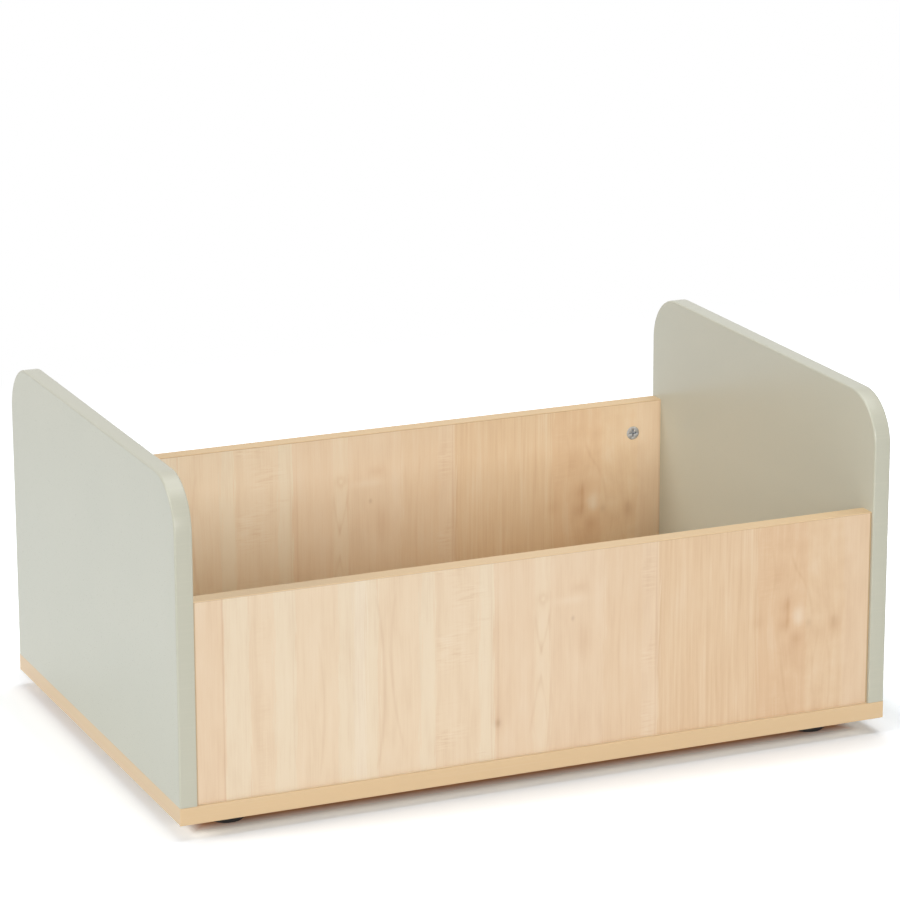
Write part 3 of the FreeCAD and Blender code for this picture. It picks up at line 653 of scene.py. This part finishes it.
def turned(outline, rounded=None, segments=3):
    """A solid of revolution about Z, from a closed outline of (radius, height) points.

    rounded maps the number of a corner to its radius.
    """
    form = bmesh.new()
    corners = [form.verts.new((radius, 0, height)) for radius, height in outline]
    form.faces.new(corners)
    for number, radius in (rounded or {}).items():
        bevel(form, [corners[number]], radius, segments)
    bmesh.ops.delete(form, geom=form.faces[:], context="FACES_ONLY")
    on_axis = [edge for edge in form.edges if all(v.co.x < SAME_PLACE for v in edge.verts)]
    bmesh.ops.delete(form, geom=on_axis, context="EDGES")
    bmesh.ops.spin(form, geom=form.verts[:] + form.edges[:], axis=(0, 0, 1), angle=FULL_TURN,
                   steps=ROUND_STEPS, use_merge=True)
    bmesh.ops.remove_doubles(form, verts=form.verts, dist=SAME_PLACE)
    bmesh.ops.recalc_face_normals(form, faces=form.faces)
    return form


def block(width, depth, height, middle=(0, 0, 0)):
    form = bmesh.new()
    bmesh.ops.create_cube(form, size=1)
    bmesh.ops.scale(form, verts=form.verts, vec=(width, depth, height))
    bmesh.ops.translate(form, verts=form.verts, vec=middle)
    return form


def rod(radius, height, middle=(0, 0, 0), sides=ROUND_STEPS, turn=None):
    """A prism or cylinder about Z, turned and then moved to its middle."""
    form = bmesh.new()
    bmesh.ops.create_cone(form, cap_ends=True, segments=sides, radius1=radius, radius2=radius,
                          depth=height)
    if turn is not None:
        bmesh.ops.rotate(form, verts=form.verts, matrix=turn)
    bmesh.ops.translate(form, verts=form.verts, vec=middle)
    return form


def sector(radius, height, middle_height, start, angle):
    """A slice of a cylinder about Z, from the angle start over the given angle."""
    form = bmesh.new()
    low = middle_height - height / 2
    ends = [form.verts.new((distance, 0, low)) for distance in (0, radius)]
    spoke = form.edges.new(ends)
    bmesh.ops.rotate(form, verts=ends, matrix=Matrix.Rotation(start, 3, "Z"))
    bmesh.ops.spin(form, geom=[*ends, spoke], axis=(0, 0, 1), angle=angle, steps=ROUND_STEPS)
    bmesh.ops.remove_doubles(form, verts=form.verts, dist=SAME_PLACE)
    bmesh.ops.solidify(form, geom=form.faces[:], thickness=height)
    bmesh.ops.recalc_face_normals(form, faces=form.faces)
    top = max(vert.co.z for vert in form.verts)
    bmesh.ops.translate(form, verts=form.verts, vec=(0, 0, low + height - top))
    return form


def loose_object(form, name="Form"):
    """A plain object that takes over a form."""
    mesh = bpy.data.meshes.new(name)
    form.to_mesh(mesh)
    form.free()
    item = bpy.data.objects.new(name, mesh)
    bpy.context.scene.collection.objects.link(item)
    return item


def carved(blank, *tools):
    """The blank with every tool cut out of it."""
    solid = loose_object(blank)
    cutters = [loose_object(tool) for tool in tools]
    for cutter in cutters:
        cut = solid.modifiers.new("Cut", "BOOLEAN")
        cut.object = cutter
        cut.solver = "EXACT"
    bpy.context.view_layer.update()
    form = bmesh.new()
    form.from_object(solid, bpy.context.evaluated_depsgraph_get())
    for item in (solid, *cutters):
        mesh = item.data
        bpy.data.objects.remove(item)
        bpy.data.meshes.remove(mesh)
    return form


def bevel_mouths(form, height, reach, width):
    """Bevels the mouths of the recesses in the flat face at a height, within reach of the axis."""
    mouths = [
        edge for edge in form.edges
        if all(abs(v.co.z - height) < SAME_PLACE and v.co.xy.length < reach for v in edge.verts)
        and len(edge.link_faces) == 2 and edge.calc_face_angle() > SMOOTH_ANGLE
    ]
    bevel(form, mouths, width, 2, "EDGES")


def make_piece(name, form, place, material, slot, body, *replaced):
    """Turns a form into a finished piece at its place, in the stead of CAD nodes."""
    mesh = bpy.data.meshes.new(name)
    form.to_mesh(mesh)
    mesh.transform(place)
    for face in mesh.polygons:
        face.use_smooth = True
    mesh.set_sharp_from_angle(angle=SMOOTH_ANGLE)
    mesh.materials.append(material)
    piece = bpy.data.objects.new(name, mesh)
    bpy.context.scene.collection.objects.link(piece)
    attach(piece, body)
    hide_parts(*replaced)
    return piece


def make_copies(form, nodes, old, new, material, slot, height=None):
    """Makes a piece in the stead of each node, at the node's foot or at the given height.

    In the piece's name, new stands for old.
    """
    for node in nodes:
        low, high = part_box(node)
        middle = (low + high) / 2
        place = Matrix.Translation((middle.x, middle.y, low.z if height is None else height))
        make_piece(node.replace(old, new), form, place, material, slot, "bin", node)
    form.free()


# Pieces.

def make_end_strip_form(lower, upper, edging):
    """The edging of an end panel: up the front, over the top and down the back."""
    form = bmesh.new()
    inner = lower.y + edging.thickness
    corners = [form.verts.new((x, y, lower.z)) for x, y in (
        (lower.x, inner), (lower.x, lower.y), (upper.x, lower.y), (upper.x, inner))]
    form.faces.new(corners)
    for ends, radius, segments in ((corners[1:3], edging.arris, 6),
                                   ((corners[0], corners[3]), edging.joint, 1)):
        bevel(form, ends, radius, segments)
    bmesh.ops.delete(form, geom=form.faces[:], context="FACES_ONLY")
    front, back = lower.y + edging.corner_radius, upper.y - edging.corner_radius
    shoulder = upper.z - edging.corner_radius
    ring = form.edges[:]
    ring = pull(form, ring, (0, 0, shoulder - lower.z))
    ring = swing(form, ring, (0, front, shoulder))
    ring = pull(form, ring, (0, back - front, 0))
    ring = swing(form, ring, (0, back, shoulder))
    pull(form, ring, (0, 0, lower.z - shoulder))
    bmesh.ops.holes_fill(form, edges=[edge for edge in form.edges if edge.is_boundary])
    bmesh.ops.recalc_face_normals(form, faces=form.faces)
    return form


def pull(form, ring, way):
    """Extrudes a ring of edges, and gives the new ring."""
    made = bmesh.ops.extrude_edge_only(form, edges=ring)["geom"]
    verts = [item for item in made if isinstance(item, bmesh.types.BMVert)]
    bmesh.ops.translate(form, verts=verts, vec=way)
    return [item for item in made if isinstance(item, bmesh.types.BMEdge)]


def swing(form, ring, centre):
    """Sweeps a ring of edges a quarter turn about X, from upright to level or on to downward."""
    made = bmesh.ops.spin(form, geom=ring, cent=centre, axis=(1, 0, 0), angle=-QUARTER_TURN,
                          steps=ROUND_STEPS // 4)["geom_last"]
    return [item for item in made if isinstance(item, bmesh.types.BMEdge)]


def make_cam_form(radius, height, fittings):
    """Cam lock: face at z = 0, bolt from +X, locked."""
    level = -fittings.cam_bolt_level
    blank = turned(((0, 0), (radius, 0), (radius, -height), (0, -height)),
                   {1: fittings.cam_rim, 2: fittings.cam_rim})
    cavity_radius = radius - fittings.cam_wall + fittings.cam_rise / 2
    long, blade, deep = fittings.cross_width, fittings.cross_blade, fittings.cross_depth
    arrow_place = (fittings.arrow_place, 0, 0)
    slot_turn = 1.25 * math.pi
    # The bolt's head goes in by a hole that is wider than the slot.
    head_radius = fittings.cam_slot / 2 + 1.5 * MM
    across_turn = Matrix.Rotation(QUARTER_TURN, 3, "Y")
    form = carved(
        blank,
        block(long, blade, 2 * deep),
        block(blade, long, 2 * deep),
        rod(fittings.arrow_radius, 2 * fittings.arrow_depth, arrow_place, 3,
            Matrix.Rotation(-QUARTER_TURN, 3, "Z")),
        rod(cavity_radius, fittings.cam_cavity, (-fittings.cam_rise / 2, 0, level)),
        sector(2 * radius, fittings.cam_slot, level, -math.pi, slot_turn),
        rod(head_radius, 2 * radius, (-radius, 0, level), turn=across_turn),
    )
    bevel_mouths(form, 0, radius - 2 * fittings.cam_rim, fittings.recess_edge)
    return form


def facing(row, end):
    """The turn of a cam that faces the inside of the bin, with its bolt towards its own end."""
    outward = Vector((-1 if end == "left" else 1, 0, 0))
    face = Vector((0, 1 if row == "front" else -1, 0))
    turn = Matrix((outward, face.cross(outward), face)).transposed()
    return turn.to_4x4()


def make_base_screw_form(radius, height, fittings):
    """Countersunk connecting screw, its head's face at z = 0 and its point up."""
    shank, thread, sink, board, taper = 3.5 * MM, 2.5 * MM, 1.5 * MM, 18 * MM, 4 * MM
    blank = turned(((0, 0), (radius, 0), (shank, sink), (shank, board), (thread, board),
                    (thread, height - taper), (thread / 3, height), (0, height)),
                   {1: fittings.recess_edge})
    socket = rod(fittings.socket_width / math.sqrt(3), 2 * fittings.socket_depth, sides=6)
    form = carved(blank, socket)
    bevel_mouths(form, 0, radius - 3 * fittings.recess_edge, fittings.recess_edge)
    return form


# Height of the screw's seat above the foot of a glide.
GLIDE_SEAT = 9 * MM


def make_glide_form(height):
    """Round glide with its foot at z = 0 and a flange at its top."""
    foot, rim, flange = 18 * MM, 20 * MM, 4 * MM
    recess, bore = 6 * MM, 2.3 * MM
    outline = ((recess, 0), (foot, 0), (rim, height - flange), (rim, height), (bore, height),
               (bore, GLIDE_SEAT), (recess, GLIDE_SEAT))
    # Mouth of the recess, edge of the foot, and the flange's lower and upper edge.
    rounded = {0: 0.5 * MM, 1: 1.5 * MM, 2: 0.8 * MM, 3: 0.3 * MM}
    return turned(outline, rounded, segments=5)


def make_glide_screw_form(low, high, fittings):
    """Pan head screw of a glide, its head down, between two heights about its seat at 0."""
    head, shank, crown = 4.25 * MM, 2.25 * MM, 1.2 * MM
    blank = turned(((0, low), (head, low), (head, 0), (shank, 0), (shank, high), (0, high)),
                   {1: crown}, segments=5)
    long, blade, deep, mouth = 2 * shank, fittings.cross_blade, -low, (0, 0, low)
    form = carved(blank, block(long, blade, deep, mouth), block(blade, long, deep, mouth))
    bevel_mouths(form, low, head, fittings.recess_edge)
    return form


# Operators.

# The back panel shows the same print a little larger and further along, and paler and less warm:
# # painted light that brightens the shaded inside of the bin.
BACK_PRINT_SCALE = 1.065
BACK_PRINT_ACROSS = 18.7
BACK_PRINT_ALONG = 15.4
FRONT_TONE = (0.98, 0.97, 0.97, 1)
BACK_PAINTED_LIGHT = (1.13, 1.18, 1.24, 1)
# The other faces show it mirrored and moved by this much.
FRONT_PANEL_REAR = 70
BACK_PANEL_REAR = 40
# The base shows it narrower by this factor, moved, and with its grain along the bin.
BASE_PRINT_SCALE = 1.4
BASE_PRINT_SHIFT = 20


class BuildOperator:
    bl_options = {"REGISTER", "UNDO"}


class DressMapleBoards(BuildOperator, bpy.types.Operator):
    """Give the base, the front and back panels and their edging the maple print"""
    bl_idname = "browser_bin.dress_maple_boards"
    bl_label = "Dress Maple Boards"

    def execute(self, context):
        finish = context.scene.bin_finish
        maple_print = make_maple_print(finish)
        low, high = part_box("front_panel")
        foot, half = low.z / MM, (high.y - low.y) / 2 / MM
        glue_from = high.z / MM - GLUE_MM
        shrunk = 1 / BACK_PRINT_SCALE
        for side, front, back, along, tone, end_shade_share in (
                ("front", shifted(0), shifted(0, -1, FRONT_PANEL_REAR), shifted(2, 1, -foot),
                 FRONT_TONE, FRONT_END_SHADE),
                ("back", shifted(0, shrunk, BACK_PRINT_ACROSS), shifted(0, -1, BACK_PANEL_REAR),
                 shifted(2, shrunk, BACK_PRINT_ALONG - shrunk * foot), BACK_PAINTED_LIGHT, BACK_END_SHADE)):
            node = f"{side}_panel"
            across = split_by_face(node, front, back)
            dress(make_maple_board(f"Maple, {side} panel", finish, maple_print, across, along,
                                   from_middle(1, node), half, tone, glue_from, end_shade_share), node)
        across = shifted(1, BASE_PRINT_SCALE, BASE_PRINT_SHIFT)
        dress(make_maple_board("Maple, base", finish, maple_print, across, shifted(0),
                               from_middle(2, "base_board"), half), "base_board")
        for name, roughness, nodes in (
                ("Maple edging, base", 0.27, nodes_named("base_edging")),
                ("Maple edging, panels", 0.5, ("front_panel_edging", "back_panel_edging"))):
            strip = make_strip_material(name, finish.maple_strip, finish.grain_light, roughness)
            dress(strip, *nodes)
        return {"FINISHED"}


class DressEndPanels(BuildOperator, bpy.types.Operator):
    """Give the end panels their sage laminate"""
    bl_idname = "browser_bin.dress_end_panels"
    bl_label = "Dress End Panels"

    def execute(self, context):
        finish = context.scene.bin_finish
        for node in ("left_end_panel", "right_end_panel"):
            dress(make_sage_board(f"Sage laminate, {node}", finish, node), node)
        return {"FINISHED"}


class BuildEndStrips(BuildOperator, bpy.types.Operator):
    """Build the edging strips of the end panels"""
    bl_idname = "browser_bin.build_end_strips"
    bl_label = "Build End Strips"

    def execute(self, context):
        scene = context.scene
        strip = make_strip_material("Sage edging", scene.bin_finish.sage_strip,
                                    scene.bin_finish.grain_light, roughness=0.27)
        for end in ("left", "right"):
            node = f"{end}_end_edging"
            form = make_end_strip_form(*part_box(node), scene.bin_edging)
            make_piece(f"{end}_end_strip", form, Matrix(), strip, "sage_edging", "bin", node)
            form.free()
        return {"FINISHED"}


class BuildCamLocks(BuildOperator, bpy.types.Operator):
    """Build the cam locks of the front and back panels"""
    bl_idname = "browser_bin.build_cam_locks"
    bl_label = "Build Cam Locks"

    def execute(self, context):
        scene = context.scene
        zinc = make_metal("Die-cast zinc", scene.bin_finish.zinc, roughness=0.4, grain_mm=0.5,
                          relief_mm=0.02)
        nodes = nodes_named("cam_", ["cam_bolt_"])
        low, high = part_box(nodes[0])
        form = make_cam_form((high.x - low.x) / 2, high.y - low.y, scene.bin_fittings)
        for node in nodes:
            _, row, end, level = node.split("_")
            low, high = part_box(node)
            middle = (low + high) / 2
            face_y = high.y if row == "front" else low.y
            place = Matrix.Translation((middle.x, face_y, middle.z)) @ facing(row, end)
            make_piece(f"lock_{row}_{end}_{level}", form, place, zinc, "cam_zinc", node, node)
        form.free()
        return {"FINISHED"}


class BuildBaseScrews(BuildOperator, bpy.types.Operator):
    """Build the screws that hold the panels on the base"""
    bl_idname = "browser_bin.build_base_screws"
    bl_label = "Build Base Screws"

    def execute(self, context):
        scene = context.scene
        steel = make_metal("Plated steel", scene.bin_finish.steel, roughness=0.26, grain_mm=0.8,
                           relief_mm=0.01)
        nodes = nodes_named("base_screw_")
        low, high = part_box(nodes[0])
        form = make_base_screw_form((high.x - low.x) / 2, high.z - low.z, scene.bin_fittings)
        make_copies(form, nodes, "base_screw", "connector", steel, "screw_steel")
        dress(steel, *nodes_named("cam_bolt_"))
        dress(make_beech("Beech", scene.bin_finish), *nodes_named("dowel_"))
        return {"FINISHED"}


class BuildGlides(BuildOperator, bpy.types.Operator):
    """Build the glides and their screws"""
    bl_idname = "browser_bin.build_glides"
    bl_label = "Build Glides"

    def execute(self, context):
        scene = context.scene
        plastic = make_plastic("Moulded plastic", scene.bin_finish.plastic)
        steel = make_metal("Glide screw steel", scene.bin_finish.steel, roughness=0.3,
                           grain_mm=0.8, relief_mm=0.01)
        screws = nodes_named("glide_screw_")
        low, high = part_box(screws[0])
        form = make_glide_screw_form(low.z - GLIDE_SEAT, high.z - GLIDE_SEAT, scene.bin_fittings)
        make_copies(form, screws, "glide", "foot", steel, "screw_steel", GLIDE_SEAT)
        glides = nodes_named("glide_", ["glide_screw_"])
        low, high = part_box(glides[0])
        form = make_glide_form(high.z - low.z)
        make_copies(form, glides, "glide", "foot", plastic, "glide_plastic")
        return {"FINISHED"}


# The camera's place in metres, and its turns in degrees.
CAMERA_PLACE = (-1.5529, -3.5897, 1.3887)
CAMERA_YAW = -23.495
CAMERA_PITCH = -15.848
CAMERA_ROLL = 0.101
CAMERA_LENS_MM = 159.31
CAMERA_SENSOR_MM = 36
# Distances outside the base, in millimetres, for the painted shadow and painted light on the
# floor:
# # where the painted shadow ends, where a painted band of light along its edge is brightest with
# # the band's reach, where that band fades out towards the ends of the base, where painted light
# on
# # the floor beside those ends is brightest with its reach, and where it brightens to plain white.
PAINTED_SHADOW_MM = (-38, -12)
PAINTED_RIM_MM = (-8, 8)
PAINTED_RIM_END_MM = (-5, -30)
PAINTED_SIDE_MM = (16, 20)
FLOOR_WHITE_MM = (25, 110)
# How much each of these brightens it.
PAINTED_RIM_GAIN = 0.4
PAINTED_SIDE_GAIN = 0.16
WHITE_GAIN = 0.55
# The lamps' places, widths and heights in metres, and the place on the bin that they face.
FRONT_LAMP = ((-1.1, -7.9, 1.9), 4, 2)
LEFT_LAMP = ((-9.3, 0.9, 5.3), 4.5, 4.5)
TOP_LAMP = ((0.5, 0.1, 3), 2.4, 2.4)
LAMP_AIM = Vector((0, 0, 0.15))


class SetStage(BuildOperator, bpy.types.Operator):
    """Set the floor, the light and the camera"""
    bl_idname = "browser_bin.set_stage"
    bl_label = "Set Stage"

    def execute(self, context):
        stage = context.scene.bin_stage
        self.set_floor(stage)
        self.set_light(context.scene, stage)
        self.set_camera(context.scene)
        context.scene.view_settings.view_transform = "Standard"
        return {"FINISHED"}

    @staticmethod
    def seen_directly(tree):
        """1 for what the camera sees, itself or in a gloss or through glass."""
        path = tree.add("LightPath").outputs
        glossy = tree.math("MAXIMUM", path["Is Glossy Ray"], path["Is Transmission Ray"])
        return tree.math("MAXIMUM", path["Is Camera Ray"], glossy)

    def set_floor(self, stage):
        """A plain floor that shows white away from the bin, with a painted shadow under the bin
        and painted light along the shadow's edge and beside the bin's ends.
        """
        form = bmesh.new()
        bmesh.ops.create_grid(form, x_segments=1, y_segments=1, size=stage.floor_size / 2)
        floor = loose_object(form, "Floor")
        material, tree = new_material("Floor")
        x, y, _ = tree.place_mm()
        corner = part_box("base_board")[1] / MM
        aside = tree.math("SUBTRACT", tree.math("ABSOLUTE", x), corner.x)
        ahead = tree.math("SUBTRACT", tree.math("ABSOLUTE", y), corner.y)
        outside = tree.math("MAXIMUM", aside, ahead)
        lifted = tuple(part + more for part, more in zip(stage.floor, stage.floor_lift))
        # Painted shadow under the base, and painted light in a band along its edge and on the
        # floor beside the base's ends.
        color = tree.blend(tree.step(outside, *PAINTED_SHADOW_MM), stage.painted_floor_shadow, lifted)
        rim = tree.times(tree.bell(outside, *PAINTED_RIM_MM), PAINTED_RIM_GAIN,
                         tree.step(aside, *PAINTED_RIM_END_MM))
        beside = tree.times(tree.bell(aside, *PAINTED_SIDE_MM), PAINTED_SIDE_GAIN)
        past = tree.times(tree.step(outside, *FLOOR_WHITE_MM), WHITE_GAIN,
                          tree.add("LightPath").outputs["Is Camera Ray"])
        gain = tree.total(1, rim, beside, past)
        color = tree.add("VectorMath", {0: color, "Scale": gain}, operation="SCALE").outputs[0]
        near = tree.add("BsdfDiffuse", {0: color}).outputs[0]
        white = tree.add("Emission", {"Color": WHITE, "Strength": 1.0}).outputs[0]
        far = tree.step(outside, stage.floor_near / MM, 2 * stage.floor_near / MM)
        shown = tree.add("MixShader", {0: far, 1: near, 2: white}).outputs[0]
        plain = tree.add("BsdfDiffuse", {0: opaque(stage.floor)}).outputs[0]
        surface = tree.add("MixShader", {0: self.seen_directly(tree), 1: plain, 2: shown})
        tree.add("OutputMaterial", {"Surface": surface.outputs[0]})
        floor.data.materials.append(material)

    def set_light(self, scene, stage):
        world = bpy.data.worlds.new("Studio")
        world.use_nodes = True
        tree = Tree(world.node_tree)
        light = tree.add("Background", {"Color": WHITE, "Strength": stage.sky}).outputs[0]
        backdrop = tree.add("Background", {"Color": WHITE, "Strength": 1.0}).outputs[0]
        both = tree.add("MixShader", {0: self.seen_directly(tree), 1: light, 2: backdrop})
        tree.add("OutputWorld", {"Surface": both.outputs[0]})
        scene.world = world
        self.add_lamp(scene, "Front lamp", stage.front_power, *FRONT_LAMP)
        self.add_lamp(scene, "Left lamp", stage.left_power, *LEFT_LAMP)
        self.add_lamp(scene, "Top lamp", stage.top_power, *TOP_LAMP)

    @staticmethod
    def add_lamp(scene, name, power, place, width, height):
        """A rectangular lamp that faces the bin."""
        lamp = bpy.data.lights.new(name, "AREA")
        lamp.shape = "RECTANGLE"
        lamp.size, lamp.size_y = width, height
        lamp.energy = power
        item = bpy.data.objects.new(name, lamp)
        item.location = place
        aim = LAMP_AIM - item.location
        item.rotation_euler = aim.to_track_quat("-Z", "Y").to_euler()
        scene.collection.objects.link(item)

    def set_camera(self, scene):
        lens = bpy.data.cameras.new("Camera")
        lens.lens = CAMERA_LENS_MM
        lens.sensor_width = CAMERA_SENSOR_MM
        lens.sensor_fit = "HORIZONTAL"
        camera = bpy.data.objects.new("Camera", lens)
        turn = (Matrix.Rotation(math.radians(CAMERA_YAW), 4, "Z")
                @ Matrix.Rotation(math.radians(CAMERA_PITCH), 4, "X")
                @ Matrix.Rotation(math.radians(CAMERA_ROLL), 4, "Y"))
        camera.matrix_world = (Matrix.Translation(CAMERA_PLACE) @ turn
                               @ Matrix.Rotation(QUARTER_TURN, 4, "X"))
        scene.collection.objects.link(camera)
        scene.camera = camera


OPERATORS = (DressMapleBoards, DressEndPanels, BuildEndStrips, BuildCamLocks, BuildBaseScrews,
             BuildGlides, SetStage)
SETTINGS = {
    "bin_edging": BinEdgingSettings,
    "bin_fittings": BinFittingSettings,
    "bin_finish": BinFinishSettings,
    "bin_stage": BinStageSettings,
}


class BrowserBinPanel(bpy.types.Panel):
    """Lists the steps that build the bin"""
    bl_label = "Browser Bin"
    bl_idname = "VIEW3D_PT_browser_bin"
    bl_space_type = "VIEW_3D"
    bl_region_type = "UI"
    bl_category = "Browser Bin"

    def draw(self, context):
        for operator in OPERATORS:
            self.layout.operator(operator.bl_idname)


def register():
    for item in (*SETTINGS.values(), *OPERATORS, BrowserBinPanel):
        bpy.utils.register_class(item)
    for name, settings in SETTINGS.items():
        setattr(bpy.types.Scene, name, PointerProperty(type=settings))


def unregister():
    for name in SETTINGS:
        delattr(bpy.types.Scene, name)
    for item in (BrowserBinPanel, *reversed(OPERATORS), *SETTINGS.values()):
        bpy.utils.unregister_class(item)


def main():
    register()
    for operator in OPERATORS:
        group, name = operator.bl_idname.split(".")
        getattr(getattr(bpy.ops, group), name)()


if __name__ == "__main__":
    main()
